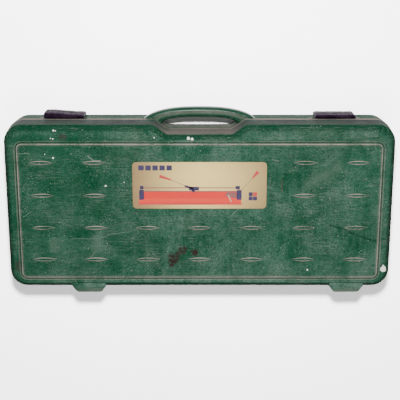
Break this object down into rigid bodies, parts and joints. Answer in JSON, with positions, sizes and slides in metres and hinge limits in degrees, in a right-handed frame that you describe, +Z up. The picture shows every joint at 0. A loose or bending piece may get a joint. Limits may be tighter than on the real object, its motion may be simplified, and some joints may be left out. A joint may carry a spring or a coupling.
{
  "type": "tool carrying case",
  "caption": "Long double-walled plastic carrying case with a moulded handle, a hinged lid on foot blocks, snap latches and a picture label.",
  "frame": {"origin": "centre of the flat underside that the case rests on", "axes": "+X along the case's length, +Y towards the handle, +Z up through the lid"},
  "size_m": [0.872, 0.4255, 0.1368],
  "materials": {
    "green_shell": "worn, dusty moulded plastic",
    "dark_latch": "satin",
    "steel_pin": "plain",
    "label": "satin foil"
  },
  "bodies": {
    "base": {"base_outer_skin": "green_shell", "base_inner_skin": "green_shell", "hinge_pin_left": "steel_pin", "hinge_pin_right": "steel_pin", "latch_pin_left": "steel_pin", "latch_pin_right": "steel_pin"},
    "lid": {"lid_outer_skin": "green_shell", "lid_inner_skin": "green_shell", "label_plate": "label"},
    "latch_left": {"latch_lever_left": "dark_latch"},
    "latch_right": {"latch_lever_right": "dark_latch"}
  },
  "joints": [
    {"name": "lid_hinge", "type": "hinge", "parent": "base", "child": "lid", "pos_m": [0.04125, -0.202, 0.075], "axis": [1, 0, 0], "range_deg": [0, 105]},
    {"name": "latch_left_pivot", "type": "hinge", "parent": "base", "child": "latch_left", "pos_m": [-0.3055, 0.197, 0.028], "axis": [-1, 0, 0], "range_deg": [0, 100]},
    {"name": "latch_right_pivot", "type": "hinge", "parent": "base", "child": "latch_right", "pos_m": [0.3055, 0.197, 0.028], "axis": [-1, 0, 0], "range_deg": [0, 100]}
  ]
}
